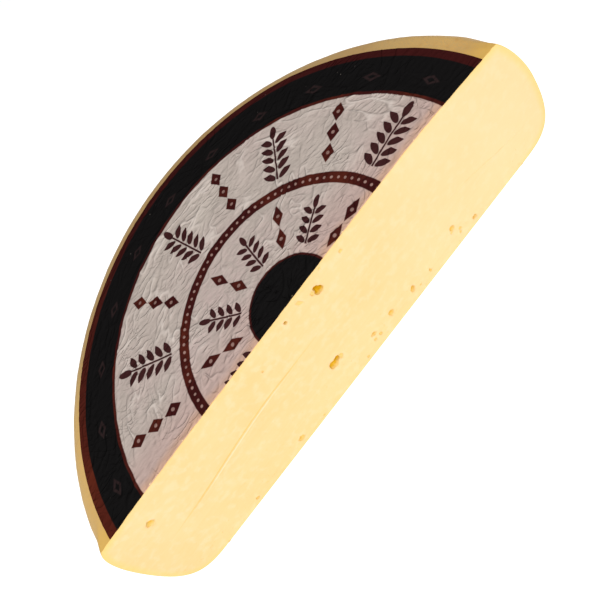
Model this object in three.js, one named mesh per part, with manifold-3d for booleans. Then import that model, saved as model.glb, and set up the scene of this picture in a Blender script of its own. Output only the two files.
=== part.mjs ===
// A half wheel of semi-hard cheese with the half of its round paper label that is left on its top.
// The wheel was cut straight down just past its middle, and the half lies on its flat bottom face.
// Units are millimetres, +Z is up. X runs along the cut, and Y runs from the cut face back to the rind.
import * as THREE from "three";
import { mergeVertices } from "three/addons/utils/BufferGeometryUtils.js";
import Module from "manifold-3d";

const wasm = await Module();
wasm.setup();

// Driving dimensions of the whole wheel
const WHEEL_RADIUS = 150;
const WHEEL_HEIGHT = 76;
const BELLY_HEIGHT = 37;          // height of the widest line round the heel
const BOTTOM_FLAT_RADIUS = 124;   // the wheel rests on this disc
const SHOULDER_RADIUS = 132;      // where the top face turns down into the heel
const CORNER_RADIUS = 140;        // the same beside the cut, where the shoulder is squarer
const CORNER_REACH = 25;          // this far behind the cut the shoulder is as round as elsewhere
const CROWN_DROP = 1.9;           // how far the top face falls from its middle to the corner
const SAG_SHIFT = 1.6;            // the belly has sunk this far along X on its shelf
const HEEL_WAVE = 0.8;            // height of the slow unevenness round the heel
const HEEL_WAVE_COUNT = 4;        // the mould left the outline very slightly squared
const SQUASH = 0.99;              // width square to the cut, as a share of the width along it
const SLUMP = 2.3;                // how far the top has sunk at the right end of the cut
const SLUMP_START = 80;           // it starts to sink this far along X from the axis
const SLUMP_END = 140;            // and is lowest here
const SLUMP_FOOT = 70.5;          // the heel below this height has kept its form
const SLUMP_FULL = 74.5;          // and from this height up the top sinks in full
const CUT_PAST_CENTRE = 0.7;      // the knife passed this far beyond the axis

// Pull of the heel's two curves: how far each handle reaches from its end
const BOTTOM_PULL = 16;
const BELLY_PULL_DOWN = 35;
const BELLY_PULL_UP = 21;
const SHOULDER_PULL = 16;
const CORNER_PULL_UP = 20;
const CORNER_PULL = 4;

// The paper label on the top face
const LABEL_RADIUS = 134.1;
const LABEL_SQUASH = 0.982;       // its width square to the cut, as a share of that along it
const LABEL_ASIDE = 0.5;          // it was stuck on this far off the axis to the right
const LABEL_SHIFT = -1.1;         // and this far towards the cut
const LABEL_THICKNESS = 0.2;
const LABEL_GAP = 0.2;            // the glue under the paper

// Facets
const TURN_FACETS = 96;
const HEEL_FACETS = 11;
const TOP_FACETS = 10;
const EYE_FACETS = 12;

// Round holes that the cut opened. x is along the cut from the wheel's axis, below is down from
// the top, wide and tall are the mouth, deep is how far it goes in, and turn leans it to the right.
const EYES = [
  { x: -121.1, below: 16.1, wide: 4.8, tall: 4.8, deep: 1.8, turn: 0 },
  { x: -93, below: 71.6, wide: 2.5, tall: 2.5, deep: 1.2, turn: 0 },
  { x: -54.4, below: 69.9, wide: 4.5, tall: 4.3, deep: 2, turn: 0 },
  { x: -38.3, below: 73, wide: 2, tall: 1.8, deep: 0.8, turn: 0 },
  { x: -12.2, below: 52.5, wide: 6.5, tall: 7, deep: 3.6, turn: 0 },
  { x: -8.7, below: 52.9, wide: 5.9, tall: 5.6, deep: 2.4, turn: 0 },
  { x: -8.8, below: 6.1, wide: 2.2, tall: 2, deep: 1.6, turn: 0 },
  { x: -0.4, below: 72.2, wide: 1.8, tall: 2, deep: 0.8, turn: 0 },
  { x: 2, below: 5.3, wide: 3.4, tall: 2.8, deep: 0.9, turn: 0 },
  { x: 8.9, below: 8.1, wide: 2.8, tall: 2.6, deep: 1, turn: 0 },
  { x: 11.6, below: 9.5, wide: 4.6, tall: 6.8, deep: 3.8, turn: 20 },
  { x: 31.3, below: 6, wide: 2.1, tall: 2.1, deep: 0.9, turn: 0 },
  { x: 10.5, below: 63.7, wide: 3.9, tall: 3.9, deep: 2.2, turn: 0 },
  { x: 8.9, below: 68.2, wide: 2.4, tall: 2.6, deep: 1.2, turn: 0 },
  { x: 12.5, below: 68.1, wide: 2.4, tall: 2.6, deep: 1.3, turn: 0 },
  { x: 24.3, below: 64.5, wide: 4.3, tall: 4.3, deep: 2.2, turn: 0 },
  { x: 40.4, below: 66.6, wide: 2.9, tall: 5, deep: 1.8, turn: 25 },
  { x: 53.4, below: 69, wide: 1.6, tall: 3.4, deep: 1, turn: 0 },
  { x: 75.7, below: 61.8, wide: 3.1, tall: 5, deep: 1.8, turn: 15 },
  { x: 78.6, below: 67.7, wide: 2.4, tall: 3.9, deep: 1.4, turn: -10 },
  { x: 88.4, below: 70.8, wide: 3.3, tall: 3, deep: 1.8, turn: 0 },
];

// Colours
const PASTE_COLOUR = 0xfbe4a4;
const PAPER_COLOUR = 0xc4b5ad;

const smooth = (t) => THREE.MathUtils.smoothstep(t, 0, 1);

// Height of the domed top face at a distance from the wheel's axis
const topHeight = (radius) => WHEEL_HEIGHT - CROWN_DROP * (radius / CORNER_RADIUS) ** 4;
const topSlope = (radius) => (4 * CROWN_DROP * radius ** 3) / CORNER_RADIUS ** 4;

// Points of the top face from one radius in to another
function topPoints(outer, inner, lift) {
  const points = [];
  for (let i = 0; i <= TOP_FACETS; i += 1) {
    const radius = THREE.MathUtils.lerp(outer, inner, i / TOP_FACETS);
    points.push(new THREE.Vector2(radius, topHeight(radius) + lift));
  }
  return points;
}

// Outline from the bottom's middle, out round the heel and in along the top to the axis
function wheelProfile(shoulder, bellyPull, shoulderPull) {
  const shoulderHeight = topHeight(shoulder);
  const handleHeight = shoulderHeight - shoulderPull * topSlope(shoulder);
  const lowerHeel = new THREE.CubicBezierCurve(
    new THREE.Vector2(BOTTOM_FLAT_RADIUS, 0),
    new THREE.Vector2(BOTTOM_FLAT_RADIUS + BOTTOM_PULL, 0),
    new THREE.Vector2(WHEEL_RADIUS, BELLY_HEIGHT - BELLY_PULL_DOWN),
    new THREE.Vector2(WHEEL_RADIUS, BELLY_HEIGHT),
  );
  const upperHeel = new THREE.CubicBezierCurve(
    new THREE.Vector2(WHEEL_RADIUS, BELLY_HEIGHT),
    new THREE.Vector2(WHEEL_RADIUS, BELLY_HEIGHT + bellyPull),
    new THREE.Vector2(shoulder + shoulderPull, handleHeight),
    new THREE.Vector2(shoulder, shoulderHeight),
  );
  return [
    new THREE.Vector2(0, 0),
    ...lowerHeel.getPoints(HEEL_FACETS),
    ...upperHeel.getPoints(HEEL_FACETS).slice(1),
    ...topPoints(shoulder, 0, 0).slice(1),
  ];
}

// Paper that follows the domed top: its underside out to the rim, then its upper side back in
function labelProfile() {
  const underside = topPoints(LABEL_RADIUS, 0, LABEL_GAP).reverse();
  const upperSide = topPoints(LABEL_RADIUS, 0, LABEL_GAP + LABEL_THICKNESS);
  return [...underside, ...upperSide];
}

// A closed solid of revolution standing on the XY plane
function turned(profile) {
  const geometry = new THREE.LatheGeometry(profile, TURN_FACETS, Math.PI / 2);
  return geometry.rotateX(Math.PI / 2);
}

// The whole wheel, with a round shoulder that grows squarer beside the cut
function wheel() {
  const geometry = turned(wheelProfile(SHOULDER_RADIUS, BELLY_PULL_UP, SHOULDER_PULL));
  const corner = turned(wheelProfile(CORNER_RADIUS, CORNER_PULL_UP, CORNER_PULL));
  const place = new THREE.Vector3();
  const cornerPlace = new THREE.Vector3();
  const points = geometry.attributes.position;
  for (let i = 0; i < points.count; i += 1) {
    place.fromBufferAttribute(points, i);
    cornerPlace.fromBufferAttribute(corner.attributes.position, i);
    const radius = Math.hypot(place.x, place.y);
    const sine = radius > 0 ? place.y / radius : 0;
    place.lerp(cornerPlace, 1 - smooth((sine * WHEEL_RADIUS) / CORNER_REACH));
    points.setXYZ(i, place.x, place.y, place.z);
  }
  return geometry;
}

// The heel's slow waves, the sag of its lower part and the squash; the flat faces keep their level
function settle(geometry) {
  const place = new THREE.Vector3();
  const points = geometry.attributes.position;
  for (let i = 0; i < points.count; i += 1) {
    place.fromBufferAttribute(points, i);
    const radius = Math.hypot(place.x, place.y);
    const angle = Math.atan2(place.y, place.x);
    const wave = HEEL_WAVE * Math.cos(HEEL_WAVE_COUNT * angle);
    const onHeel = smooth((radius - BOTTOM_FLAT_RADIUS) / (WHEEL_RADIUS - BOTTOM_FLAT_RADIUS));
    const stretch = radius > 0 ? 1 + (wave * onHeel) / radius : 1;
    const sag = SAG_SHIFT * smooth((WHEEL_HEIGHT - place.z) / (WHEEL_HEIGHT - BELLY_HEIGHT));
    points.setXYZ(i, place.x * stretch + sag, place.y * stretch * SQUASH, place.z);
  }
  return geometry;
}

// The top sinks towards its right end, and the heel keeps its form
function slumped(geometry) {
  const points = geometry.attributes.position;
  for (let i = 0; i < points.count; i += 1) {
    const along = smooth((points.getX(i) - SLUMP_START) / (SLUMP_END - SLUMP_START));
    const up = smooth((points.getZ(i) - SLUMP_FOOT) / (SLUMP_FULL - SLUMP_FOOT));
    points.setZ(i, points.getZ(i) - SLUMP * along * up);
  }
  return geometry;
}

// A geometry as a solid that can be cut
function toSolid(geometry) {
  geometry.deleteAttribute("normal");
  geometry.deleteAttribute("uv");
  const merged = mergeVertices(geometry, 1e-4);
  return new wasm.Manifold(new wasm.Mesh({
    numProp: 3,
    vertProperties: new Float32Array(merged.attributes.position.array),
    triVerts: new Uint32Array(merged.index.array),
  }));
}

// A cut solid as a named mesh of its own colour
function toMesh(solid, name, material) {
  const { vertProperties, triVerts } = solid.getMesh();
  const geometry = new THREE.BufferGeometry();
  geometry.setAttribute("position", new THREE.BufferAttribute(vertProperties, 3));
  geometry.setIndex(new THREE.BufferAttribute(triVerts, 1));
  geometry.computeVertexNormals();
  const mesh = new THREE.Mesh(geometry, material);
  mesh.name = name;
  return mesh;
}

// The half that the knife took away
function removedHalf() {
  const reach = 3 * WHEEL_RADIUS;
  const block = new THREE.BoxGeometry(reach, reach, reach);
  return toSolid(block.translate(0, -CUT_PAST_CENTRE - reach / 2, 0));
}

// One eye: a rounded hollow whose middle lies on the cut plane
function eyeHollow({ x, below, wide, tall, deep, turn }) {
  const ball = new THREE.SphereGeometry(1, EYE_FACETS, EYE_FACETS / 2);
  ball.scale(wide / 2, deep, tall / 2);
  ball.rotateY(THREE.MathUtils.degToRad(turn));
  return toSolid(ball.translate(x, -CUT_PAST_CENTRE, WHEEL_HEIGHT - below));
}

function cheese() {
  let body = toSolid(slumped(settle(wheel()))).subtract(removedHalf());
  for (const eye of EYES) {
    body = body.subtract(eyeHollow(eye));
  }
  const paste = new THREE.MeshStandardMaterial({ color: PASTE_COLOUR, roughness: 0.55, metalness: 0 });
  return toMesh(body, "cheese", paste);
}

function label() {
  const paper = new THREE.MeshStandardMaterial({ color: PAPER_COLOUR, roughness: 0.8, metalness: 0 });
  const disc = turned(labelProfile()).scale(1, LABEL_SQUASH, 1).translate(LABEL_ASIDE, LABEL_SHIFT, 0);
  return toMesh(toSolid(slumped(disc)).subtract(removedHalf()), "label", paper);
}

// The origin is the middle of the bottom of the half wheel's box
const halfWheel = new THREE.Group();
halfWheel.add(cheese(), label());
const box = new THREE.Box3().setFromObject(halfWheel);
const middle = box.getCenter(new THREE.Vector3());
halfWheel.position.set(-middle.x, -middle.y, -box.min.z);

export default halfWheel;
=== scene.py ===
# %% [markdown]
# # A raclette half wheel
# A round of semi-hard melting cheese was cut through the middle, and one half lies on its flat bottom. It
# is two things: the cheese, with a pale cut face, a few small eyes and a tan rind, and the half of the
# round paper label that is left on its top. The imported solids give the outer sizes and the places, in
# metres.

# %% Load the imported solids
import math

import bpy
from mathutils import Matrix, Vector


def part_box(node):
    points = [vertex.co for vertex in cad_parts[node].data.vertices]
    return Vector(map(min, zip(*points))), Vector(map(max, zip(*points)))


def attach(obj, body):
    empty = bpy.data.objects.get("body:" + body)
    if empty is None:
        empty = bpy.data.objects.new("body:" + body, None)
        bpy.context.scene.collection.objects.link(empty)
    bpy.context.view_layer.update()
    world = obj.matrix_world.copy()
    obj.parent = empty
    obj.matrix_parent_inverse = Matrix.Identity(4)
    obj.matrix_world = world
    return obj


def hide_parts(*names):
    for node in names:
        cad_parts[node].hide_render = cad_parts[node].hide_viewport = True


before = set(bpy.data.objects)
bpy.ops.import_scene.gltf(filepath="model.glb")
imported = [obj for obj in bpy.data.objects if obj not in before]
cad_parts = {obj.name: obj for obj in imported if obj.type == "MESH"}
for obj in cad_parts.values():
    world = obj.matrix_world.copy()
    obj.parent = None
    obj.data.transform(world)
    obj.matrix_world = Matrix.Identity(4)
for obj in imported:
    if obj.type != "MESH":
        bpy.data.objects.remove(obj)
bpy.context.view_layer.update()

MM = 0.001
label_low, label_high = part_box("label")
cheese_low, cheese_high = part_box("cheese")
WHEEL_HEIGHT = cheese_high.z
CUT_Y = cheese_low.y
PAST_CENTRE = 0.7 * MM         # the knife passed this far beyond the wheel's axis
SQUASH = 0.99                  # width square to the cut, as a share of the width along it
LABEL_SQUASH = 0.982           # the same share for the label
LABEL_ASIDE = 0.5 * MM         # the label was stuck on this far to the right of the axis
LABEL_RADIUS = (label_high.x - label_low.x) / 2
LABEL_MIDDLE = (label_high.x + label_low.x) / 2
LABEL_CENTRE = Vector((LABEL_MIDDLE, label_high.y - LABEL_RADIUS * LABEL_SQUASH, 0))
AXIS = Vector((LABEL_MIDDLE - LABEL_ASIDE, CUT_Y + PAST_CENTRE, 0))
print("cut face at y", round(CUT_Y, 5), "axis", AXIS)
print("label radius", round(LABEL_RADIUS, 5), "and centre", LABEL_CENTRE)

# %% [markdown]
# ## The camera
# The label's printed rings are circles, so the ellipses that they make in a picture fix the camera: how
# far round and how high it stands, how it is tilted, how near it is and how long its lens is. The half
# wheel lies across the picture because the camera is rolled, not because the cheese leans.

# %% Camera
CAMERA_AZIMUTH = math.radians(3.82)
CAMERA_ELEVATION = math.radians(47.95)
CAMERA_ROLL = math.radians(-55.38)
CAMERA_BACK = 322.5 * MM       # from the top of the wheel's axis
CAMERA_ASIDE = 5.1 * MM
CAMERA_RISE = 0.5 * MM
FOCAL_PIXELS = 735
IMAGE_PIXELS = 600
SENSOR = 36.0
CLIP_START = 10 * MM


def make_camera():
    """A camera that looks at the top of the wheel's axis."""
    level = math.cos(CAMERA_ELEVATION)
    back = Vector((
        math.sin(CAMERA_AZIMUTH) * level,
        -math.cos(CAMERA_AZIMUTH) * level,
        math.sin(CAMERA_ELEVATION),
    ))
    right = Vector((math.cos(CAMERA_AZIMUTH), math.sin(CAMERA_AZIMUTH), 0))
    up = back.cross(right)
    rolled_right = math.cos(CAMERA_ROLL) * right + math.sin(CAMERA_ROLL) * up
    rolled_up = math.cos(CAMERA_ROLL) * up - math.sin(CAMERA_ROLL) * right
    middle = Vector((AXIS.x, AXIS.y, label_high.z))
    place = middle + CAMERA_ASIDE * rolled_right + CAMERA_RISE * rolled_up + CAMERA_BACK * back
    data = bpy.data.cameras.new("camera")
    data.sensor_width = SENSOR
    data.lens = SENSOR * FOCAL_PIXELS / IMAGE_PIXELS
    data.clip_start = CLIP_START
    camera = bpy.data.objects.new("camera", data)
    turned = Matrix((rolled_right, rolled_up, back)).transposed().to_4x4()
    camera.matrix_world = Matrix.Translation(place) @ turned
    bpy.context.collection.objects.link(camera)
    bpy.context.scene.camera = camera
    print("camera at", place, "lens", round(data.lens, 2))


make_camera()

# %% [markdown]
# ## Sums as nodes
# Both the shapes and the finishes below are rules, such as how high the paper stands at a place or how
# dark the rind is there. A Wire holds one output socket of a node tree. Sums on wires add Math nodes, so
# a rule reads as it would on paper, and one method adds every other kind of node.

# %% Wires
class Wire:
    """An output socket of a node tree. Sums on wires add Math nodes, and node() adds any other node."""

    def __init__(self, tree, socket=None):
        self.tree = tree
        self.socket = socket

    def node(self, kind, settings=(), inputs=(), output=0):
        """A new node: its settings first, then values or wires for its inputs, by name or number."""
        made = self.tree.nodes.new(kind)
        for name, value in dict(settings).items():
            setattr(made, name, value)
        for name, value in dict(inputs).items():
            for one in value if isinstance(value, list) else [value]:
                if isinstance(one, Wire):
                    self.tree.links.new(one.socket, made.inputs[name])
                else:
                    made.inputs[name].default_value = one
        return Wire(self.tree, made.outputs[output])

    def math(self, operation, *others):
        return self.node("ShaderNodeMath", {"operation": operation}, enumerate((self, *others)))

    def __add__(self, other):
        return self.math("ADD", other)

    def __mul__(self, other):
        return self.math("MULTIPLY", other)

    def __sub__(self, other):
        return self.math("SUBTRACT", other)

    def __truediv__(self, other):
        return self.math("DIVIDE", other)

    def __pow__(self, other):
        return self.math("POWER", other)

    def __abs__(self):
        return self.math("ABSOLUTE")

    def __rsub__(self, other):
        return self.node("ShaderNodeMath", {"operation": "SUBTRACT"}, {0: other, 1: self})

    __radd__ = __add__
    __rmul__ = __mul__

    def least(self, other):
        return self.math("MINIMUM", other)

    def most(self, other):
        return self.math("MAXIMUM", other)

    def rise(self, start, end):
        """0 up to start, 1 from end on, and a smooth rise between."""
        inputs = {0: self, 1: start, 2: end}
        return self.node("ShaderNodeMapRange", {"interpolation_type": "SMOOTHSTEP"}, inputs)

    def inside(self, low, high, soft):
        """1 between low and high and 0 beyond, with soft edges."""
        return self.rise(low - soft, low + soft) * (1 - self.rise(high - soft, high + soft))

    def mix(self, low, high):
        """A colour: low where this mask is 0, high where it is 1."""
        return self.node("ShaderNodeMix", {"data_type": "RGBA"}, {0: self, 6: low, 7: high}, 2)

    def split(self):
        """The three numbers of a vector."""
        parts = self.node("ShaderNodeSeparateXYZ", inputs={0: self}).socket.node.outputs
        return [Wire(self.tree, part) for part in parts]

    def vector(self, x, y, z):
        return self.node("ShaderNodeCombineXYZ", inputs={0: x, 1: y, 2: z})

    def vector_math(self, operation, other):
        """A sum on vectors. SCALE takes a number, and the others take a vector."""
        slot = "Scale" if operation == "SCALE" else 1
        return self.node("ShaderNodeVectorMath", {"operation": operation}, {0: self, slot: other})

    def noise(self, scale, stretch=(1, 1, 1), detail=2.0, seed=0.0, output=0):
        """Cloudy noise from 0 to 1 at this place; scale counts lumps in a metre."""
        stretched = self.vector_math("MULTIPLY", stretch)
        inputs = {"Vector": stretched, "W": seed, "Scale": scale, "Detail": detail}
        return self.node("ShaderNodeTexNoise", {"noise_dimensions": "4D"}, inputs, output)


# %% Trees and the meshes that they grow
SOCKETS = {float: "NodeSocketFloat", int: "NodeSocketInt", bpy.types.Material: "NodeSocketMaterial"}


def geometry_tree(name, sizes):
    """A Geometry Nodes tree with a named input for each size, and those inputs as wires."""
    tree = bpy.data.node_groups.new(name, "GeometryNodeTree")
    tree.interface.new_socket("Geometry", in_out="INPUT", socket_type="NodeSocketGeometry")
    tree.interface.new_socket("Geometry", in_out="OUTPUT", socket_type="NodeSocketGeometry")
    for label, value in sizes.items():
        tree.interface.new_socket(label, in_out="INPUT", socket_type=SOCKETS[type(value)])
    entry = tree.nodes.new("NodeGroupInput")
    return tree, {socket.name: Wire(tree, socket) for socket in entry.outputs}


def end_tree(wire):
    """Realize what is left of instances and hand the result out."""
    whole = wire.node("GeometryNodeRealizeInstances", inputs={0: wire})
    way_out = wire.tree.nodes.new("NodeGroupOutput")
    wire.tree.links.new(whole.socket, way_out.inputs[0])


def grow(name, tree, sizes, points):
    """A plain mesh object of what the tree makes from these points."""
    piece = bpy.data.objects.new(name, points)
    bpy.context.collection.objects.link(piece)
    modifier = piece.modifiers.new("shape", "NODES")
    modifier.node_group = tree
    for item in tree.interface.items_tree:
        if item.in_out == "INPUT" and item.name in sizes:
            modifier[item.identifier] = sizes[item.name]
    graph = bpy.context.evaluated_depsgraph_get()
    grown = piece.evaluated_get(graph)
    mesh = bpy.data.meshes.new_from_object(grown, preserve_all_data_layers=True, depsgraph=graph)
    piece.modifiers.clear()
    piece.data = mesh
    mesh.calc_loop_triangles()
    print(name, len(mesh.vertices), "points", len(mesh.loop_triangles), "triangles")
    return piece


# %% [markdown]
# ## Surfaces from grids
# A grid carries two numbers at each point, u along its columns and v along its rows, and a rule of u and
# v says where the point goes. A closed surface is several such patches, welded along the edges that they
# share. Sculpting could give these forms too, but a rule is easy to read, to measure and to change.

# %% Patches, welds and half discs
WELD_REACH = 0.02 * MM


def patch(start, columns, rows, place):
    """A grid whose points go where place says for u along its columns and v along its rows, from 0 to 1."""
    counts = {"Vertices X": columns, "Vertices Y": rows}
    grid = start.node("GeometryNodeMeshGrid", inputs=counts)
    u, v, flat = Wire(start.tree, grid.socket.node.outputs["UV Map"]).split()
    inputs = {"Geometry": grid, "Position": place(u, v)}
    return start.node("GeometryNodeSetPosition", inputs=inputs)


def weld(start, patches):
    """Patches joined into one surface, with the points that meet made one."""
    joined = start.node("GeometryNodeJoinGeometry", inputs={0: patches})
    return start.node("GeometryNodeMergeByDistance", inputs={"Geometry": joined, "Distance": WELD_REACH})


def half_disc(radius, past_centre, squash=1.0, rim_radius=None):
    """Places on a half disc: rows run from the straight cut edge to the round rim."""
    def place(u, v):
        turn = (1 - u) * math.pi
        sine = turn.math("SINE")
        rim = rim_radius(sine) if rim_radius else radius
        edge_x = (2 * u - 1) * radius
        rim_x = turn.math("COSINE") * rim
        rim_y = sine * rim * squash - (1 - sine) * past_centre
        x = edge_x + (rim_x - edge_x) * v
        y = (rim_y + past_centre) * v - past_centre
        return x, y
    return place


def distance(x, y):
    """How far a place is from the point that x and y are measured from."""
    return (x * x + y * y).math("SQRT")


# %% [markdown]
# ## Finishes
# Colours are written as they look on a screen, from 0 to 255, and turned into the linear values that a
# shader works with. Each finish is one Principled shader. What is the same all over sits on the shader's
# own sockets, and only what varies is wired.

# %% Colours and materials
def tint(red, green, blue):
    """A screen colour as linear red, green, blue and full cover."""
    def linear(level):
        part = level / 255
        return part / 12.92 if part <= 0.04045 else ((part + 0.055) / 1.055) ** 2.4
    return (linear(red), linear(green), linear(blue), 1.0)


def finish_of(name, fixed):
    """A material with fixed values on its shader, a wire to start from, the place and a way to connect."""
    material = bpy.data.materials.new(name)
    material.use_nodes = True
    tree = material.node_tree
    shader = tree.nodes["Principled BSDF"]
    for socket, value in fixed.items():
        shader.inputs[socket].default_value = value
    start = Wire(tree)
    place = start.node("ShaderNodeTexCoord", output="Object")

    def connect(socket, wire):
        tree.links.new(wire.socket, shader.inputs[socket])
    return material, start, place, connect


def bumped(height, depth):
    """A normal from a height that runs from 0 to 1 over this depth."""
    return height.node("ShaderNodeBump", inputs={"Strength": 1.0, "Distance": depth, "Height": height})


# %% [markdown]
# ## Lines of the knife
# Where the blade paused in the cut it left two fine lines, each a narrow groove, and the paste below the
# longer one stands a little proud. Both the mesh and the paste's colour follow one rule for the height of
# a line, so that rule comes first. The colour is painted shade in the groove and a painted highlight on
# the proud lip below it.

# %% Where the knife's lines run
# Ends along the cut, height at the right end, drop to the left end, where the drop starts and ends, and
# thickness (mm, along the cut from the wheel's axis)
KNIFE_LINES = [
    (-136, 2, 47.4, 7.4, -38, -125, 0.45),
    (77.5, 141, 19.6, -11.8, 141, 77, 0.25),
]
LONG_LINE = KNIFE_LINES[0]
LINE_WAVER = 0.8 * MM


def line_height(x, line):
    """Height of a knife line at a distance along the cut from the wheel's axis."""
    height, drop, drop_start, drop_end = line[2:6]
    fall = ((drop_start * MM - x) / ((drop_start - drop_end) * MM)).rise(0, 1) * (drop * MM)
    waver = x.vector(x, 0, 0).noise(30, detail=2.0, seed=11.0) - 0.5
    return height * MM - fall + waver * LINE_WAVER


def between(x, fade_in, full, still_full, gone):
    """A mask along the cut that comes in, stays and goes out, with its four places in mm."""
    return x.rise(fade_in * MM, full * MM) * (1 - x.rise(still_full * MM, gone * MM))


print("knife lines", len(KNIFE_LINES))

# %% [markdown]
# ## Paste
# The paste is pale butter yellow, a shade paler towards the right end. Inside the eyes it is painted a
# deeper gold, as painted shade and the light that bounces from wall to wall, and the tiny pits get a
# painted shade too. It is a little stronger just under the rind, where the cheese has dried. Curds that
# never quite knitted show as faint mottles, and the knife left streaks along the cut. Noise that reads
# the place itself runs on into the eyes without a seam, which a picture laid on the cut would not.

# %% Paste
PASTE_PALE = tint(231, 195, 139)
PASTE_WARM = tint(229, 188, 126)
PASTE_CURD = tint(234, 201, 155)
PASTE_DRY = tint(230, 194, 105)
# Painted shade and bounced light: the first in the eyes' shallow dishes and the tiny pits, the second deeper
# in
PASTE_SHALLOW_SHADE = tint(219, 187, 105)
PASTE_DEEP_SHADE = tint(208, 161, 4)
# Painted shade in the knife groove, and a painted highlight on the proud lip below it
PASTE_GROOVE_SHADE = tint(222, 182, 104)
PASTE_LIP_HIGHLIGHT = tint(238, 214, 178)
PITTED = (6 * MM, 30 * MM)     # tiny pits are thick below the first height and few above the second
RIGHT_END = 110 * MM           # the paste grows paler from the axis to here
DRY_DEPTH = (0.5 * MM, 5 * MM)     # how far in from the rind the paste has dried
DRY_ENDS = (112 * MM, 142 * MM)    # it is driest towards both ends of the cut


def make_paste():
    """The finish of the cut face, which also lines the eyes."""
    material, start, place, connect = finish_of("cheese paste", {"Specular IOR Level": 0.3})
    x, y, z = place.split()
    under_rind = start.node("ShaderNodeAttribute", {"attribute_name": "under_rind"}, output="Fac")
    cloud = place.noise(28, detail=4.0, seed=1.0)
    streak = place.noise(1.0, stretch=(18, 18, 700), detail=3.0, seed=2.0)
    grain = place.noise(900, detail=2.0, seed=3.0)
    curd = place.noise(210, detail=3.0, seed=8.0)
    pits = place.noise(620, detail=1.0, seed=9.0).rise(0.66, 0.74) * (1 - z.rise(*PITTED) * 0.7)
    colour = (cloud * 0.7 + streak * 0.3).rise(0.3, 0.75).mix(PASTE_PALE, PASTE_WARM)
    colour = (curd.rise(0.45, 0.7) * 0.6).mix(colour, PASTE_CURD)
    # Painted shade in the tiny pits
    colour = (pits * 0.45).mix(colour, PASTE_SHALLOW_SHADE)

    along = x - AXIS.x
    colour = (along.rise(0, RIGHT_END) * 0.5).mix(colour, PASTE_CURD)
    below = line_height(along, LONG_LINE) - z
    # Painted shade in the groove of the long line, and a painted highlight on the proud lip below it
    groove_shade = below.inside(-0.4 * MM, 0.35 * MM, 0.3 * MM) * between(along, -140, -78, -42, 6)
    lip_highlight = below.inside(0.55 * MM, 1.5 * MM, 0.35 * MM) * between(along, -106, -84, -58, -22)
    colour = (groove_shade * 0.8).mix(colour, PASTE_GROOVE_SHADE)
    colour = (lip_highlight * 0.5).mix(colour, PASTE_LIP_HIGHLIGHT)

    depth = y - CUT_Y
    near_ends = abs(along).rise(*DRY_ENDS)
    dried = (1 - under_rind.rise(*DRY_DEPTH)) * (0.12 + near_ends * 0.5)
    colour = dried.mix(colour, PASTE_DRY)
    # Painted shade and bounced light inside the eyes: a paler gold in the shallow dish, a deep gold further
    # in
    colour = (depth.rise(0.12 * MM, 0.5 * MM) * 0.8).mix(colour, PASTE_SHALLOW_SHADE)
    colour = depth.rise(0.6 * MM, 2.0 * MM).mix(colour, PASTE_DEEP_SHADE)
    connect("Base Color", colour)
    connect("Roughness", 0.44 + cloud * 0.14)
    connect("Normal", bumped(streak * 0.5 + grain * 0.4 + curd * 0.6 - pits * 0.8, 0.16 * MM))
    return material


paste = make_paste()
print("finish", paste.name)

# %% [markdown]
# ## Rind
# The rind is tan and dry, washed smooth while the wheel ripened. Its colour drifts in soft patches, with
# fine grey grain and small darker freckles. It is a shade browner towards the bottom of the heel and more
# golden beside the cut, where the fresh paste shows through it. Light and shade are painted on it too: a
# painted light makes it paler on the left side, and painted shade makes it duller round the back. Each of
# these is a mask that mixes one more colour in.

# %% Rind
RIND_PALE = tint(214, 174, 102)
RIND_TAN = tint(199, 155, 86)
RIND_BROWN = tint(173, 122, 62)
RIND_GREY = tint(182, 156, 107)
RIND_GOLD = tint(219, 174, 77)
# Painted light on the left side and painted shade round the back
RIND_PAINTED_LIGHT = tint(232, 190, 116)
RIND_PAINTED_SHADE = tint(150, 122, 86)
BROWNER_BELOW = 34 * MM              # the heel is browner below this height
CUT_GOLD = (1 * MM, 16 * MM)       # behind the cut: fully golden, and no more
# Where the painted light on the left and the painted shade round the back lie
LEFT_PAINTED_LIGHT = (-150 * MM, -70 * MM)  # along the cut from the axis: palest, and no paler than elsewhere
BACK_WAY = (0.17, 0.98)            # the way to the dull back, seen from above
BACK_PAINTED_SHADE = (40 * MM, 95 * MM)     # that way from the axis: dullness starts, and is full


def make_rind():
    """The finish of the outside."""
    material, start, place, connect = finish_of("washed rind", {"Specular IOR Level": 0.35})
    x, y, z = place.split()
    patches = place.noise(24, detail=4.0, seed=4.0)
    freckles = place.noise(330, detail=3.0, seed=5.0)
    grain = place.noise(1500, detail=2.0, seed=6.0)
    low = 1 - z.rise(0, BROWNER_BELOW)
    by_cut = 1 - (y - CUT_Y).rise(*CUT_GOLD)
    colour = patches.rise(0.32, 0.7).mix(RIND_PALE, RIND_TAN)
    colour = (grain.rise(0.42, 0.64) * 0.55).mix(colour, RIND_GREY)
    colour = (freckles.rise(0.55, 0.75) * 0.35 + low * 0.3).mix(colour, RIND_BROWN)
    # Painted light: paler on the left side. Painted shade: duller round the back
    left = 1 - (x - AXIS.x).rise(*LEFT_PAINTED_LIGHT)
    painted_shade_behind = ((x - AXIS.x) * BACK_WAY[0] + (y - AXIS.y) * BACK_WAY[1]).rise(*BACK_PAINTED_SHADE)
    colour = (left * 0.5).mix(colour, RIND_PAINTED_LIGHT)
    colour = (painted_shade_behind * 0.45).mix(colour, RIND_PAINTED_SHADE)
    colour = (by_cut * 0.6).mix(colour, RIND_GOLD)
    connect("Base Color", colour)
    connect("Roughness", 0.5 + patches * 0.2)
    connect("Normal", bumped(freckles * 0.6 + patches * 0.4, 0.35 * MM))
    return material


rind = make_rind()
print("finish", rind.name)

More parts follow.
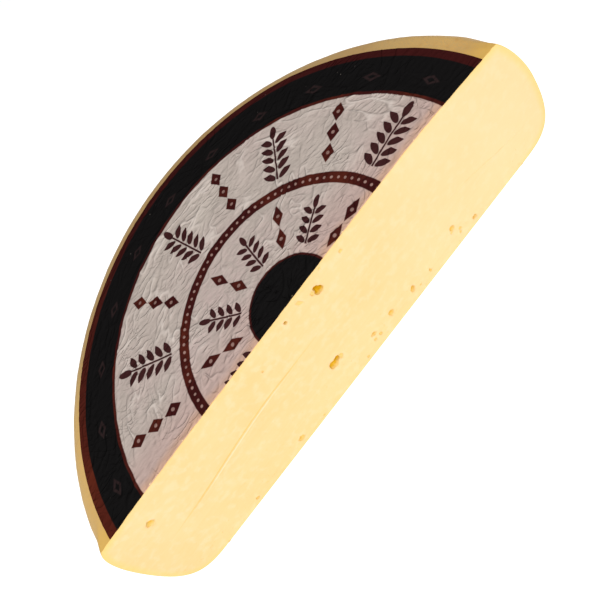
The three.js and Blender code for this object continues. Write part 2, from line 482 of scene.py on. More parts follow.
# %% [markdown]
# ## The half wheel
# The wheel is a solid of revolution: one outline, from the flat bottom round the bulging heel to the
# shoulder, turned about an axis. The half of it is a closed surface of four grids that share their edges:
# the heel, the cut face, the top and the bottom. A lathe and a cut would give the same form, but grids
# keep even cells on the cut face, which the fine relief needs. Beside the cut the shoulder is squarer
# than round the back, so the outline passes smoothly from one curve to the other. The same slow waves,
# sag and slump as in the solid finish the form.

# %% Sizes of the cheese
SLUMP = 2.3 * MM               # the top has sunk this far at the right end of the cut
SLUMP_START = 80 * MM
SLUMP_END = 140 * MM
SLUMP_FOOT = 70.5 * MM         # the heel below this height has kept its form
SLUMP_FULL = 74.5 * MM
CORNER_RADIUS = 140 * MM       # where the top turns down beside the cut
CORNER_REACH = 25 * MM         # this far behind the cut the shoulder is as round as elsewhere
CROWN_DROP = 1.9 * MM
WHEEL_SIZES = {
    "Wheel Radius": 150 * MM,
    "Wheel Height": float(WHEEL_HEIGHT),
    "Belly Height": 37 * MM,
    "Bottom Flat": 124 * MM,
    "Shoulder Radius": 132 * MM,
    "Corner Radius": CORNER_RADIUS,
    "Crown Drop": CROWN_DROP,
    "Sag": 1.6 * MM,
    "Heel Wave": 0.8 * MM,
    "Squash": SQUASH,
    "Slump": SLUMP,
    "Past Centre": PAST_CENTRE,
    "Columns": 301,
    "Heel Rows": 113,
    "Disc Rows": 14,
    "Rind Relief": 0.5 * MM,
    "Cut Relief": 0.35 * MM,
    "Edge Round": 0.35 * MM,
    "Knife Step": 0.18 * MM,
    "Seed": 7.0,
    "Paste": paste,
    "Rind": rind,
}
HEEL_WAVE_COUNT = 4
BOTTOM_PULL = 16 * MM
BELLY_PULL_DOWN = 35 * MM
BELLY_PULL_UP = 21 * MM
SHOULDER_PULL = 16 * MM
CORNER_PULL_UP = 20 * MM
CORNER_PULL = 4 * MM
print("wheel radius", WHEEL_SIZES["Wheel Radius"], "height", round(WHEEL_HEIGHT, 5))


# %% Outline of the heel
def crown(size, radius):
    """Height of the domed top at a distance from the axis."""
    return size["Wheel Height"] - size["Crown Drop"] * (abs(radius) / size["Corner Radius"]) ** 4


def by_corner(size, sine, elsewhere, beside_cut):
    """One value beside the cut and another further back, by the sine of the angle round the axis."""
    far = (sine * size["Wheel Radius"]).rise(0, CORNER_REACH)
    return beside_cut + (elsewhere - beside_cut) * far


def heel_outline(start, size):
    """A rule for the distance from the axis and the height along the heel, from 0 at its foot to 1."""
    radius, belly, bottom = size["Wheel Radius"], size["Belly Height"], size["Bottom Flat"]

    def curve(*ends):
        points = dict(zip(("Start", "Start Handle", "End Handle", "End"), ends))
        inputs = {name: start.vector(x, 0, z) for name, (x, z) in points.items()}
        return start.node("GeometryNodeCurvePrimitiveBezierSegment", inputs={**inputs, "Resolution": 96})

    lower = curve((bottom, 0), (bottom + BOTTOM_PULL, 0), (radius, belly - BELLY_PULL_DOWN), (radius, belly))

    def upper_curve(shoulder, belly_pull, shoulder_pull):
        top = crown(size, shoulder)
        slope = 4 * size["Crown Drop"] * shoulder ** 3 / size["Corner Radius"] ** 4
        handle = (shoulder + shoulder_pull, top - shoulder_pull * slope)
        return curve((radius, belly), (radius, belly + belly_pull), handle, (shoulder, top))

    upper = upper_curve(size["Shoulder Radius"], BELLY_PULL_UP, SHOULDER_PULL)
    corner = upper_curve(size["Corner Radius"], CORNER_PULL_UP, CORNER_PULL)

    def sample(line, factor):
        inputs = {"Curves": line, "Factor": factor}
        return start.node("GeometryNodeSampleCurve", {"mode": "FACTOR"}, inputs, "Position").split()

    def heel(v, sine=None):
        low_r, flat, low_z = sample(lower, (2 * v).least(1))
        high_r, flat, high_z = sample(corner, (2 * v - 1).most(0))
        if sine is not None:
            round_r, flat, round_z = sample(upper, (2 * v - 1).most(0))
            high_r = by_corner(size, sine, round_r, high_r)
            high_z = by_corner(size, sine, round_z, high_z)
        return low_r + high_r - radius, low_z + high_z - belly
    return heel


# %% Waves, sag and slump
def slump(x, size):
    """How far the top has sunk at a distance along the cut."""
    return x.rise(SLUMP_START, SLUMP_END) * size["Slump"]


def settle(geometry, size):
    """The heel's slow waves, the sideways sag of its lower part, the squash and the slump of the top."""
    x, y, z = geometry.node("GeometryNodeInputPosition").split()
    reach = distance(x, y).most(MM)
    turn = y.math("ARCTAN2", x)
    on_heel = reach.rise(size["Bottom Flat"], size["Wheel Radius"])
    wave = (turn * HEEL_WAVE_COUNT).math("COSINE") * size["Heel Wave"] * on_heel
    stretch = 1 + wave / reach
    drop = (size["Wheel Height"] - z) / (size["Wheel Height"] - size["Belly Height"])
    depth = y.most(0) * stretch * size["Squash"] + y.least(0)
    across = x * stretch + drop.rise(0, 1) * size["Sag"]
    up = z.rise(SLUMP_FOOT, SLUMP_FULL)
    place = geometry.vector(across, depth, z - slump(across, size) * up)
    return geometry.node("GeometryNodeSetPosition", inputs={"Geometry": geometry, "Position": place})


# %% The four grids
def painted(geometry, material):
    """The geometry with this finish."""
    return geometry.node("GeometryNodeSetMaterial", inputs={"Geometry": geometry, "Material": material})


def rind_shell(start, size, heel):
    """Heel, top and bottom: everything but the cut."""
    past, shoulder, corner = size["Past Centre"], size["Shoulder Radius"], size["Corner Radius"]

    def on_heel(u, v):
        turn = u * math.pi
        sine = turn.math("SINE")
        r, z = heel(v, sine)
        return start.vector(turn.math("COSINE") * r, sine * r - (1 - sine) * past, z)

    def on_top(u, v):
        rim = half_disc(corner, past, rim_radius=lambda sine: by_corner(size, sine, shoulder, corner))
        x, y = rim(u, v)
        return start.vector(x, y, crown(size, distance(x, y)))

    def on_bottom(u, v):
        x, y = half_disc(size["Bottom Flat"], past)(1 - u, v)
        return start.vector(x, y, 0.0)

    columns, rows = size["Columns"], size["Disc Rows"]
    patches = [
        patch(start, columns, size["Heel Rows"], on_heel),
        patch(start, columns, rows, on_top),
        patch(start, columns, rows, on_bottom),
    ]
    return painted(settle(weld(start, patches), size), size["Rind"])


def cut_face(start, size, heel):
    """The cut: the heel's outline drawn across from one side to the other."""
    def on_cut(u, v):
        r, z = heel(v)
        across = 2 * u - 1
        dome = size["Crown Drop"] * (1 - abs(across) ** 4) * v ** 6
        return start.vector(across * r, 0 - size["Past Centre"], z + dome)

    face = patch(start, size["Columns"], size["Heel Rows"], on_cut)
    return painted(settle(face, size), size["Paste"])


# %% [markdown]
# ## Relief
# The rind is never quite smooth, and the knife leaves the cut slightly wavy, with its rim a little
# rounded. These are real shapes on the mesh, a fraction of a millimetre high: a bump alone would leave
# the outline and the rim of the cut too perfect.

# %% Relief of the rind and of the cut
EDGE_WIDTH = 1.3 * MM          # the rim of the cut is rounded over this width


def moved(geometry, offset):
    """The geometry with its points shifted."""
    return geometry.node("GeometryNodeSetPosition", inputs={"Geometry": geometry, "Offset": offset})


def relief(geometry, shell, size):
    """Low lumps on the rind, slow waves on the cut and a soft rim round it."""
    position = geometry.node("GeometryNodeInputPosition")
    x, y, z = position.split()
    lumps = position.noise(70, detail=2.0, seed=size["Seed"]) - 0.5
    pores = position.noise(420, detail=1.0, seed=size["Seed"] + 1) - 0.5
    on_cut = 1 - (y + size["Past Centre"]).rise(0.01 * MM, 0.02 * MM)
    clear_of_floor = z.rise(0.2 * MM, 3 * MM)
    out = (lumps + pores * 0.35) * size["Rind Relief"] * (1 - on_cut) * clear_of_floor
    normal = geometry.node("GeometryNodeInputNormal")
    geometry = moved(geometry, normal.vector_math("SCALE", out))

    inset = geometry.node("GeometryNodeProximity", inputs={0: shell}, output="Distance")
    waves = position.noise(1.0, stretch=(14, 1, 60), detail=2.0, seed=size["Seed"] + 2) - 0.5
    within = inset.rise(0.2 * MM, EDGE_WIDTH)
    back = waves * size["Cut Relief"] * within + size["Edge Round"] * (1 - inset.rise(0, EDGE_WIDTH))
    below = line_height(x, LONG_LINE) - z
    under_line = below.rise(-0.3 * MM, 0.6 * MM) * (1 - below.rise(1 * MM, 9 * MM))
    step = under_line * between(x, -120, -90, -60, -16)
    return moved(geometry, geometry.vector(0, (back - step * size["Knife Step"]) * on_cut, 0))


# %% [markdown]
# ## Eyes and knife lines
# Gas left small round eyes in the paste while it ripened, and the cut opened some of them. Each is an
# uneven ball taken out of the cut face, with a wider, very shallow dish that softens its mouth. The balls
# stand on points that hold the measured places and sizes. The knife also left two fine lines, cut by a
# thin rod that follows a path. One boolean takes all of them out, so the cheese stays one closed solid.

# %% Eyes measured on the cut face
# Along the cut from the wheel's axis, down from the top, width, height, depth (mm) and turn (degrees)
EYES = [
    (-121.3, 16.3, 4.4, 4.6, 1.7, 0), (-93.1, 71.7, 2.4, 2.2, 1.2, 0), (-54.4, 70.1, 4.2, 4, 1.3, 0),
    (-38.3, 73.4, 1.8, 1.7, 0.7, 0), (-12.9, 53.2, 5.6, 6, 2.7, 20), (-10, 52.4, 3.4, 3.6, 3.9, 0),
    (-7.8, 53.6, 2.6, 3.6, 0.8, 0), (-8.8, 6.1, 1.8, 2.2, 2.8, 0), (-0.4, 72.6, 1.8, 1.9, 0.8, 0),
    (2, 5.5, 2.4, 5, 0.6, -25), (9, 8.6, 2.8, 3, 0.7, 0), (11.5, 8.2, 3.3, 3.4, 3.1, 0),
    (12.8, 10.5, 3.2, 4.4, 3.8, 0), (11, 10.8, 3.3, 3.6, 3.6, 0), (31.4, 6, 2, 2, 0.7, 0),
    (10.3, 64.2, 4, 2.6, 1.2, 0), (8.9, 68.2, 2.2, 2.2, 0.9, 0), (12.7, 68.7, 1.8, 2.4, 1, 0),
    (24.2, 64.7, 3.4, 4.4, 1.5, 10), (40.4, 66.6, 2.7, 4.6, 1.9, 25), (53.4, 69, 1.3, 3, 1, 0),
    (75.7, 61.8, 3.2, 3.6, 1.2, 15), (74.2, 63.9, 2, 2, 0.6, 0), (78.9, 67, 1.8, 2.4, 0.9, -10),
    (77.9, 69.3, 1.3, 1.8, 0.8, 0), (88.4, 70.8, 3, 2.4, 2.2, -20), (-33.2, 14, 1.1, 1.3, 0.7, 0),
    (19.5, 2, 1.6, 1.6, 0.6, 0), (44.7, 69.9, 1.1, 1.3, 0.6, 0),
]


def eye_points():
    """A mesh of loose points, one for each eye, that carry its mouth, depth and turn."""
    mesh = bpy.data.meshes.new("eyes")
    mesh.from_pydata([(x * MM, -PAST_CENTRE, WHEEL_HEIGHT - below * MM) for x, below, *rest in EYES], [], [])
    mouths = mesh.attributes.new("mouth", "FLOAT_VECTOR", "POINT")
    turns = mesh.attributes.new("turn", "FLOAT_VECTOR", "POINT")
    for index, (x, below, wide, tall, deep, turn) in enumerate(EYES):
        mouths.data[index].vector = (wide * MM / 2, deep * MM, tall * MM / 2)
        turns.data[index].vector = (0, math.radians(turn), 0)
    return mesh


print("eyes", len(EYES))


# %% Balls and rods that cut the paste
EYE_UNEVEN = 0.9               # how far a ball's wall strays, as a share of its mouth
DISH_WIDER = 1.22              # width of a dish, as a share of its eye
DISH_DEPTH = 0.4 * MM
KNIFE_PROUD = -0.25 * MM       # the rod's middle stands this far before the cut face
MIDDLE_NOISE = (0.5, 0.5, 0.5)


def stored(start, name):
    """A vector that was stored at each point."""
    return start.node("GeometryNodeInputNamedAttribute", {"data_type": "FLOAT_VECTOR"}, {"Name": name})


def hollows(start, size, wider=1.0, depth=None):
    """Uneven balls on the eye points, widened, with their own depth or a fixed one."""
    mouth_x, mouth_y, mouth_z = stored(start, "mouth").split()
    scale = start.vector(mouth_x * wider, mouth_y if depth is None else depth, mouth_z * wider)
    turn = start.node("FunctionNodeEulerToRotation", inputs={0: stored(start, "turn")})
    ball = start.node("GeometryNodeMeshUVSphere", inputs={"Segments": 28, "Rings": 14})
    inputs = {"Points": size["Geometry"], "Instance": ball, "Rotation": turn, "Scale": scale}
    balls = start.node("GeometryNodeInstanceOnPoints", inputs=inputs)
    balls = start.node("GeometryNodeRealizeInstances", inputs={0: balls})
    jitter = start.node("GeometryNodeInputPosition").noise(480, detail=1.0, seed=size["Seed"], output=1)
    push = jitter.vector_math("SUBTRACT", MIDDLE_NOISE).vector_math("SCALE", mouth_x * EYE_UNEVEN)
    return painted(moved(balls, push), size["Paste"])


def knife_line(start, size, line):
    """A thin tapered rod along a line that the knife drew on the cut face."""
    left, right, thick = line[0], line[1], line[-1]
    ends = {"Start": (left * MM, 0, 0), "End": (right * MM, 0, 0)}
    path = start.node("GeometryNodeCurvePrimitiveLine", inputs=ends)
    path = start.node("GeometryNodeResampleCurve", inputs={"Curve": path, "Count": 110})
    x, y, z = start.node("GeometryNodeInputPosition").split()
    place = start.vector(x, KNIFE_PROUD - size["Past Centre"], line_height(x, line))
    path = start.node("GeometryNodeSetPosition", inputs={"Geometry": path, "Position": place})
    reach = (x - left * MM) / ((right - left) * MM)
    taper = reach.rise(0, 0.3) * (1 - reach.rise(0.6, 1)) * (thick * MM) - KNIFE_PROUD
    section = start.node("GeometryNodeCurvePrimitiveCircle", inputs={"Resolution": 6, "Radius": 1.0})
    inputs = {"Curve": path, "Profile Curve": section, "Scale": taper, "Fill Caps": True}
    rod = start.node("GeometryNodeCurveToMesh", inputs=inputs)
    return painted(rod, size["Paste"])


# %% Grow the cheese
SHARP_ANGLE = math.radians(38)


def shaded(geometry):
    """Smooth shading, with crisp edges where faces meet at a sharp angle."""
    smooth = geometry.node("GeometryNodeSetShadeSmooth", inputs={"Geometry": geometry})
    bend = geometry.node("GeometryNodeInputMeshEdgeAngle")
    crisp = geometry.node("FunctionNodeCompare", inputs={0: bend, 1: SHARP_ANGLE})
    inputs = {"Geometry": smooth, "Selection": crisp, "Shade Smooth": False}
    return geometry.node("GeometryNodeSetShadeSmooth", {"domain": "EDGE"}, inputs)


def make_cheese():
    """The half wheel, with its eyes and knife lines cut out."""
    tree, size = geometry_tree("half wheel", WHEEL_SIZES)
    start = Wire(tree)
    heel = heel_outline(start, size)
    shell = rind_shell(start, size, heel)
    body = weld(start, [shell, cut_face(start, size, heel)])
    body = relief(body, shell, size)
    cutters = [
        hollows(start, size),
        hollows(start, size, DISH_WIDER, DISH_DEPTH),
        *[knife_line(start, size, line) for line in KNIFE_LINES],
    ]
    inputs = {1: cutters, "Self Intersection": True}
    cutter = start.node("GeometryNodeMeshBoolean", {"operation": "UNION", "solver": "EXACT"}, inputs)
    inputs = {0: body, 1: cutter}
    body = start.node("GeometryNodeMeshBoolean", {"operation": "DIFFERENCE", "solver": "MANIFOLD"}, inputs)
    depth = start.node("GeometryNodeProximity", inputs={0: shell}, output="Distance")
    inputs = {"Geometry": body, "Name": "under_rind", "Value": depth}
    body = start.node("GeometryNodeStoreNamedAttribute", {"data_type": "FLOAT"}, inputs)
    end_tree(moved(shaded(body), AXIS))
    return grow("cheese_half", tree, WHEEL_SIZES, eye_points())


cheese = make_cheese()
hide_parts("cheese")
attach(cheese, "root")

# %% [markdown]
# ## The paper label
# The label is thin paper glued on the top. Moisture puckered it: long creases run round the axis, short
# ones run along the cut, and a few slant across both. The sheet is a half disc of small cells, and its
# height at each place follows a rule: fold lines are where slow noise crosses its middle value, and a
# second noise lets them come and go. A cloth simulation could crumple a sheet too, but a rule gives the
# same sheet each time, and the print's bump can read it again, so that the fine edge of a fold lies on
# the fold.

# %% Sizes of the label
LABEL_SEED = 3.0
PAPER_SQUASH = 0.991           # the creased paper reaches a little further back than the solid
LABEL_SIZES = {
    "Label Radius": float(LABEL_RADIUS),
    "Wheel Height": float(WHEEL_HEIGHT),
    "Corner Radius": CORNER_RADIUS,
    "Crown Drop": CROWN_DROP,
    "Past Centre": float(LABEL_CENTRE.y - CUT_Y),
    "Squash": PAPER_SQUASH,
    "Slump": SLUMP,
    "Thickness": 0.2 * MM,
    "Glue": 0.2 * MM,
    "Columns": 421,
    "Rows": 211,
    "Crease Height": 0.62 * MM,
    "Edge Nick": 0.5 * MM,
    "Seed": LABEL_SEED,
}
print("paper", LABEL_SIZES["Thickness"], "thick, creases", LABEL_SIZES["Crease Height"], "high")

# %% Creases
CREASE_WANDER = 10 * MM        # how far a crease strays sideways
FOLD_RADIUS = 80 * MM          # angles round the axis are measured along a circle of this radius


def creases(place, along, across, turn, width, seed):
    """Fold lines, 1 along their crest, about across apart and along long, that come and go."""
    wander = place.noise(55, detail=2.0, seed=seed + 9, output=1)
    bent = place.vector_math("ADD", wander.vector_math("SCALE", CREASE_WANDER))
    settings = {"rotation_type": "Z_AXIS"}
    bent = place.node("ShaderNodeVectorRotate", settings, {"Vector": bent, "Angle": math.radians(turn)})
    field = bent.noise(1.0, stretch=(1 / along, 1 / across, 0), detail=1.0, seed=seed)
    crest = (1 - abs(field - 0.5) / width).rise(0, 1)
    strength = place.noise(34, detail=1.0, seed=seed + 5).rise(0.4, 0.66)
    return crest * strength


def fold_lines(x, y, seed):
    """Creases at a place on the sheet: long ones round the axis, short ones along the cut, slanting ones."""
    flat = x.vector(x, y, 0)
    round_axis = x.vector(y.math("ARCTAN2", x) * FOLD_RADIUS, distance(x, y), 0)
    long_folds = creases(round_axis, 22 * MM, 7.5 * MM, 0, 0.07, seed)
    short_folds = creases(flat, 13 * MM, 3.4 * MM, 6, 0.08, seed + 20)
    cross_folds = creases(flat, 24 * MM, 9 * MM, -38, 0.06, seed + 40)
    return (long_folds * 0.9).most(short_folds * 0.8).most(cross_folds * 0.8)


# %% Sheet of paper
def make_label(material):
    """The creased sheet: its face, underside, rim and cut edge."""
    sizes = {**LABEL_SIZES, "Print": material}
    tree, size = geometry_tree("paper label", sizes)
    start = Wire(tree)
    radius, past = size["Label Radius"], size["Past Centre"]
    on_sheet = half_disc(radius, past, size["Squash"])

    def level(x, y, lift):
        return crown(size, distance(x, y)) + lift

    def spot(u, v, up):
        """A place on the sheet: u along it, v from the cut to the rim, up from its underside to its face."""
        x, y = on_sheet(u, v)
        return start.vector(x, y, level(x, y, size["Glue"] + up * size["Thickness"]))

    # Rows and places of the face, the underside, the rim and the cut edge
    sides = [
        (size["Rows"], lambda u, v: spot(u, v, 1.0)),
        (4, lambda u, v: spot(1 - u, v, 0.0)),
        (2, lambda u, v: spot(1 - u, 1.0, v)),
        (2, lambda u, v: spot(u, 0.0, v)),
    ]
    sheet = weld(start, [patch(start, size["Columns"], rows, place) for rows, place in sides])
    position = start.node("GeometryNodeInputPosition")
    x, y, z = position.split()
    raised = (z - level(x, y, size["Glue"])).rise(0.05 * MM, 0.15 * MM)
    seed = size["Seed"]
    facets = creases(position, 22 * MM, 11 * MM, 5, 0.26, seed + 60)
    swell = position.noise(40, detail=2.0, seed=seed + 80)
    height = fold_lines(x, y, seed) + facets * 0.25 + swell * 0.5
    near_rim = (distance(x, y) / radius).rise(0.8, 0.96)
    height = height * (1 - near_rim * 0.6)
    nick = start.vector(x, 0, 0).noise(130, detail=2.0, seed=seed + 90).rise(0.35, 0.75)
    nick = nick * (1 - (y + past).rise(0, 2.5 * MM)) * size["Edge Nick"]
    offset = start.vector(0, nick, height * size["Crease Height"] * raised - slump(x + LABEL_ASIDE, size))
    sheet = painted(shaded(moved(sheet, offset)), size["Print"])
    end_tree(moved(sheet, LABEL_CENTRE))
    return grow("paper_label", tree, sizes, bpy.data.meshes.new("label"))


# %% [markdown]
# ## The print
# The print is rings and simple ornaments in maroon and black on off-white paper. All of it is worked out
# from the distance and the angle from a centre, in millimetres: a ring is a span of distance, and an
# ornament is drawn once in a sector and repeats because the angle is folded. Edges stay sharp however
# near the camera is, which a picture's would not. The sheet was printed and stuck on by hand, so the
# inner rings, the band and the ring at the rim each have a centre of their own.

# %% Colours and rings of the print
PAPER = tint(189, 178, 168)
PAPER_PINK = tint(191, 171, 165)
PAPER_GREY = tint(176, 164, 155)
# Paler along the folds: partly rubbing, partly a painted highlight on their crests
PAPER_WORN_AND_HIGHLIT = tint(216, 204, 195)
PAPER_SOAKED = tint(198, 156, 130)
PAPER_DAMP = tint(184, 158, 150)
MAROON = tint(58, 22, 21)
MAROON_RUST = tint(100, 43, 27)
INK = tint(21, 20, 20)
LEAF_INK = tint(60, 32, 32)
BAND_MARK = tint(46, 34, 34)
PALE_MARK = tint(170, 138, 128)
CRUMB = tint(240, 214, 160)
SOFT = 0.3             # half the width of a printed edge, in mm
RINGS_CENTRE = AXIS + Vector((1.0, -1.4, 0)) * MM
BAND_CENTRE = AXIS + Vector((0.2, -1.6, 0)) * MM
RIM_CENTRE = AXIS + Vector((0.9, 0.5, 0)) * MM
PRINT_SQUASH = 0.99
RIM_SQUASH = 0.984
DISC = 23.3
THIN_RING = (58.7, 64.7)
BAND_START = 107.4
RIM_RING = 128.8
DISC_LINE = 1.1        # width of the maroon line round the disc
BAND_LINE = 1.8        # width of the maroon line inside the band
OUTER_SECTORS = 8
INNER_SECTORS = 7
INNER_START = 27.5     # where the inner ornaments start, and then the outer ones
OUTER_START = 69.5
RING_BEADS = 96
BAND_MARKS = 22
BAND_MIDDLE = 118
BAND_SCUFFS = (112, 125)   # scuffs start and are thickest here
RIM_RUST = (1.7, 2.9)      # angles at which the rim's ring starts to look rusty, and is rustiest
print("print out to", RIM_RING, "mm, band from", BAND_START, "mm")


# %% Ornaments
def around(x, y, centre, squash=PRINT_SQUASH):
    """Distance in mm and angle from a centre, with the squash taken out."""
    p = (x - centre.x) / MM
    q = (y - centre.y) / (squash * MM)
    return distance(p, q), q.math("ARCTAN2", p)


def ring_edge(reach, radius):
    """0 within a radius and 1 beyond it, with a printed edge."""
    return reach.rise(radius - SOFT, radius + SOFT)


def folded(turn, count, shift):
    """The angle from the middle of the nearest of count sectors."""
    sector = 2 * math.pi / count
    return (turn - shift * sector + sector / 2).math("FLOORED_MODULO", sector) - sector / 2


def leaf(along, across, middle_along, middle_across, length, width, lean):
    """An oval leaf that leans from the stem."""
    a = along - middle_along
    b = across - middle_across
    long_way = (a * math.cos(lean) + b * math.sin(lean)) / length
    wide_way = (b * math.cos(lean) - a * math.sin(lean)) / width
    return 1 - (long_way * long_way + wide_way * wide_way).rise(0.82, 1.18)


def sprig(along, across, start_at, pitch, pairs, size):
    """A stem with pairs of leaves and a leaf at its tip."""
    side = abs(across)
    stem_end = start_at + pitch * pairs
    on_stem = along.inside(start_at, stem_end, SOFT)
    stem = on_stem * (1 - side.rise(0.3, 0.75))
    step = (along - start_at).math("FLOORED_MODULO", pitch)
    leaves = leaf(step, side, pitch * 0.62, size * 0.62, size * 0.62, size * 0.25, math.radians(50))
    tip = leaf(along, side, stem_end + size * 0.4, 0, size * 0.62, size * 0.27, 0)
    return stem.most(leaves * on_stem).most(tip)


def lozenge_row(along, across, start_at, pitch, count, half):
    """Lozenges in a row along a radius, and a dot in the middle of each."""
    step = (along - start_at).math("FLOORED_MODULO", pitch) - pitch / 2
    in_row = along.inside(start_at, start_at + pitch * count, SOFT)
    reach = abs(step) * (half / (0.47 * pitch)) + abs(across)
    lozenges = (1 - reach.rise(half - SOFT, half + SOFT)) * in_row
    dots = 1 - distance(step, across).rise(0.7, 1.2)
    return lozenges, dots * in_row


# %% [markdown]
# The bare sheet is a cloudy off-white, rubbed paler along its folds, with a painted highlight on their
# crests as well. Fat from the cheese has soaked into it beside the cut and tinted it, and a wider damp
# stain fades out behind that.

# %% Bare sheet
STAIN_WANDER = 8 * MM
DAMP = (6 * MM, 30 * MM)       # behind the cut: fully damp, and dry
SOAKED = 7 * MM                # the fat has reached this far


def bare_sheet(place, cloud, fibre, fold):
    """The paper's colour before anything is printed on it."""
    x, y, z = place.split()
    blush = place.noise(14, detail=2.0, seed=16.0).rise(0.35, 0.65)
    paper = (cloud * 0.6 + fibre * 0.4).rise(0.3, 0.7).mix(blush.mix(PAPER, PAPER_PINK), PAPER_GREY)
    # Rubbed paler along the folds, with a painted highlight on their crests
    paper = (fold.rise(0.3, 0.9) * 0.6).mix(paper, PAPER_WORN_AND_HIGHLIT)
    from_cut = y - CUT_Y + (cloud - 0.5) * STAIN_WANDER
    paper = ((1 - from_cut.rise(*DAMP)) * 0.8).mix(paper, PAPER_DAMP)
    return ((1 - from_cut.rise(0, SOAKED)) * 0.75).mix(paper, PAPER_SOAKED)


# %% Disc, ring and ornaments
def inner_print(paper, maroon, x, y):
    """The paper with the print inside the band: sprigs, lozenges, the beaded ring and the disc."""
    r, turn = around(x, y, RINGS_CENTRE)
    outer_leaf = folded(turn, OUTER_SECTORS, 0.2) * r
    outer_row = folded(turn, OUTER_SECTORS, 0.7) * r
    inner_leaf = folded(turn, INNER_SECTORS, 0.6) * r
    inner_row = folded(turn, INNER_SECTORS, 0.1) * r
    lozenges, dots = lozenge_row(r, outer_row, OUTER_START, 11.6, 3, 3.7)
    small_lozenges, small_dots = lozenge_row(r, inner_row, INNER_START, 13.6, 2, 3.0)
    leaves = sprig(r, outer_leaf, OUTER_START, 5.6, 5, 7.2)
    small_leaves = sprig(r, inner_leaf, INNER_START, 4.9, 4, 5.7)
    ring_step = folded(turn, RING_BEADS, 0.0) * r
    ring_beads = 1 - distance(ring_step, r - sum(THIN_RING) / 2).rise(0.5, 1.0)
    colour = lozenges.most(small_lozenges).mix(paper, maroon)
    colour = (dots.most(small_dots) * 0.6).mix(colour, PALE_MARK)
    colour = leaves.most(small_leaves).mix(colour, LEAF_INK)
    colour = r.inside(*THIN_RING, SOFT).mix(colour, maroon)
    colour = (ring_beads * 0.75).mix(colour, PALE_MARK)
    colour = (1 - ring_edge(r, DISC)).mix(colour, maroon)
    return (1 - ring_edge(r, DISC - DISC_LINE)).mix(colour, INK)


# %% Band and rim
def outer_print(colour, maroon, rubbed, x, y):
    """The colour with the dark band, its open diamonds and the ring at the rim, and the distance out."""
    far, turn = around(x, y, BAND_CENTRE)
    mark = abs(folded(turn, BAND_MARKS, 0.5) * far) * 0.55 + abs(far - BAND_MIDDLE)
    marks = mark.rise(1.1, 1.6) * (1 - mark.rise(2.4, 3.2))
    colour = ring_edge(far, BAND_START).mix(colour, maroon)
    colour = ring_edge(far, BAND_START + BAND_LINE).mix(colour, INK)
    colour = (marks * 0.8).mix(colour, BAND_MARK)
    rust = (rubbed * 0.6 + 0.4) * turn.rise(*RIM_RUST)
    out = around(x, y, RIM_CENTRE, RIM_SQUASH)[0]
    return ring_edge(out, RIM_RING).mix(colour, rust.mix(MAROON, MAROON_RUST)), far


# %% [markdown]
# The whole finish joins the sheet, the print and the wear. The press left edges that stray a fraction of
# a millimetre, folds scuffed the dark band, and crumbs of paste lie along the cut. The bump reads the
# rule of the creases again, and adds the finer crinkles and fibres that the mesh is too coarse for.

# %% Print
PRINT_WANDER = 0.7 * MM        # how far a printed edge strays
CRUMB_REACH = (0.3 * MM, 0.9 * MM)


def make_print():
    """The finish of the printed sheet."""
    material, start, place, connect = finish_of("printed paper", {"Specular IOR Level": 0.0})
    wander = place.noise(110, detail=2.0, seed=11.0, output=1).vector_math("SUBTRACT", MIDDLE_NOISE)
    x, y, z = place.vector_math("ADD", wander.vector_math("SCALE", PRINT_WANDER)).split()
    sheet_x, sheet_y, sheet_z = place.split()
    fold = fold_lines(sheet_x - LABEL_CENTRE.x, sheet_y - LABEL_CENTRE.y, LABEL_SEED)
    cloud = place.noise(60, detail=4.0, seed=12.0)
    fibre = place.noise(700, detail=3.0, seed=13.0)
    rubbed = place.noise(50, detail=3.0, seed=14.0).rise(0.4, 0.72)
    maroon = (rubbed * 0.5).mix(MAROON, MAROON_RUST)
    colour = inner_print(bare_sheet(place, cloud, fibre, fold), maroon, x, y)
    colour, far = outer_print(colour, maroon, rubbed, x, y)

    scuffs = place.noise(520, detail=2.0, seed=15.0).rise(0.68, 0.76) * fold.rise(0.3, 0.7)
    colour = (scuffs * far.rise(*BAND_SCUFFS) * 0.35).mix(colour, PAPER_GREY)
    crumbs = place.noise(400, detail=1.0, seed=18.0).rise(0.66, 0.71)
    colour = (crumbs * (1 - (sheet_y - CUT_Y).rise(*CRUMB_REACH))).mix(colour, CRUMB)
    crinkle = place.noise(1.0, stretch=(150, 380, 0), detail=3.0, seed=17.0)
    fine_folds = creases(place, 15 * MM, 5 * MM, 40, 0.07, 131.0)
    connect("Base Color", colour)
    connect("Roughness", 0.72 + cloud * 0.16)
    connect("Normal", bumped(fibre * 0.3 + crinkle * 1.3 + fold * 0.9 + fine_folds * 0.3, 0.8 * MM))
    return material


label = make_label(make_print())
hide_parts("label")
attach(label, "root")

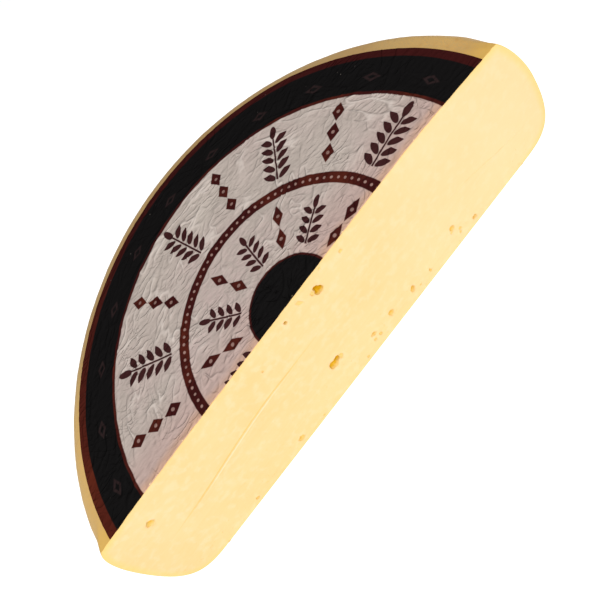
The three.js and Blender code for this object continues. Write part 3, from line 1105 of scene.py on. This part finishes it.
# %% [markdown]
# ## Floor and light
# A plain pale floor, one broad light and a bright sky. The light stands in front, about as high as the
# camera: it reaches both the cut and the label, draws the creases of the paper, and leaves the far side
# of the rind in shade. A studio often has three lamps, but a single one keeps the creases clear.

# %% Floor
FLOOR_HALF = 4.0
FLOOR_GLOW = 0.4


def make_floor():
    """A wide pale floor that glows a little, so that it stays pale at its far side."""
    mesh = bpy.data.meshes.new("floor")
    corners = [(-1, -1), (1, -1), (1, 1), (-1, 1)]
    mesh.from_pydata([(x * FLOOR_HALF, y * FLOOR_HALF, 0) for x, y in corners], [], [(0, 1, 2, 3)])
    floor = bpy.data.objects.new("floor", mesh)
    bpy.context.collection.objects.link(floor)
    fixed = {
        "Base Color": (0.93, 0.93, 0.93, 1),
        "Roughness": 0.9,
        "Emission Color": (1, 1, 1, 1),
        "Emission Strength": FLOOR_GLOW,
    }
    material = finish_of("pale floor", fixed)[0]
    mesh.materials.append(material)


make_floor()
print("floor", 2 * FLOOR_HALF, "m wide")

# %% Light
LIGHT_PLACE = Vector((-0.05, -1.05, 1.3))
LIGHT_AIM = Vector((0, 0, 0.06))
LIGHT_WIDTH = 0.6
LIGHT_WATTS = 22
SKY_STRENGTH = 0.38


def make_light():
    """A square area light that faces the cheese."""
    data = bpy.data.lights.new("front light", "AREA")
    data.size = LIGHT_WIDTH
    data.energy = LIGHT_WATTS
    light = bpy.data.objects.new("front light", data)
    light.location = LIGHT_PLACE
    light.rotation_euler = (LIGHT_AIM - LIGHT_PLACE).to_track_quat("-Z", "Y").to_euler()
    bpy.context.collection.objects.link(light)


def make_sky():
    """An even white sky all round."""
    world = bpy.data.worlds.new("studio")
    world.use_nodes = True
    sky = world.node_tree.nodes["Background"]
    sky.inputs["Color"].default_value = (1, 1, 1, 1)
    sky.inputs["Strength"].default_value = SKY_STRENGTH
    bpy.context.scene.world = world


make_light()
make_sky()
bpy.context.scene.view_settings.view_transform = "Standard"
print("light of", LIGHT_WATTS, "W and a sky of", SKY_STRENGTH)
